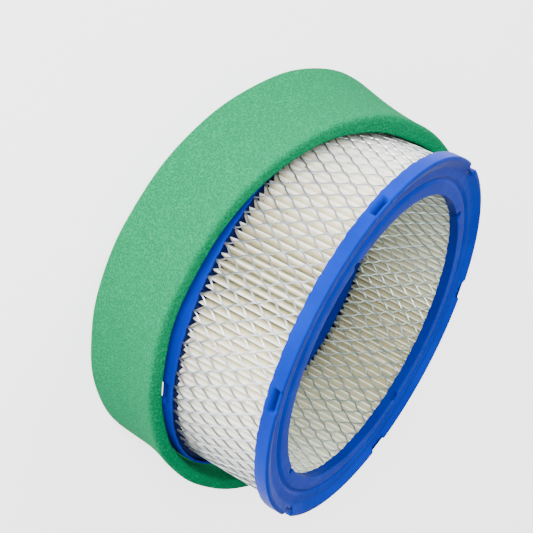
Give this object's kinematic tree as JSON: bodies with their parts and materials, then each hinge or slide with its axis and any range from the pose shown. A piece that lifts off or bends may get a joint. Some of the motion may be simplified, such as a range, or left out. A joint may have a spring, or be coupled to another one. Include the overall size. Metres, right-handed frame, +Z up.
{
  "type": "air filter element",
  "caption": "Round pleated air filter cartridge with moulded end caps and metal screens, leaning in the foam pre-cleaner sleeve that it lifts out of.",
  "frame": {"origin": "centre of the foam sleeve's footprint, at the height of the surface it stands on", "axes": "+Z up along the foam sleeve's axis; the cartridge leans 12.46 degrees from it towards +X, with its front end cap up"},
  "size_m": [0.2056, 0.2048, 0.0991],
  "materials": {
    "cap_urethane": "satin moulded urethane",
    "screen_metal": "bright expanded metal",
    "filter_paper": "matt",
    "foam": "fine open-cell foam"
  },
  "bodies": {
    "sleeve": {"foam_precleaner": "foam"},
    "cartridge": {"front_end_cap": "cap_urethane", "rear_end_cap": "cap_urethane", "outer_screen": "screen_metal", "inner_screen": "screen_metal", "pleated_paper": "filter_paper"}
  },
  "joints": [
    {"name": "cartridge_lift", "type": "slide", "parent": "sleeve", "child": "cartridge", "axis": [0, 0, 1], "range_m": [-0.004, 0.065]}
  ]
}
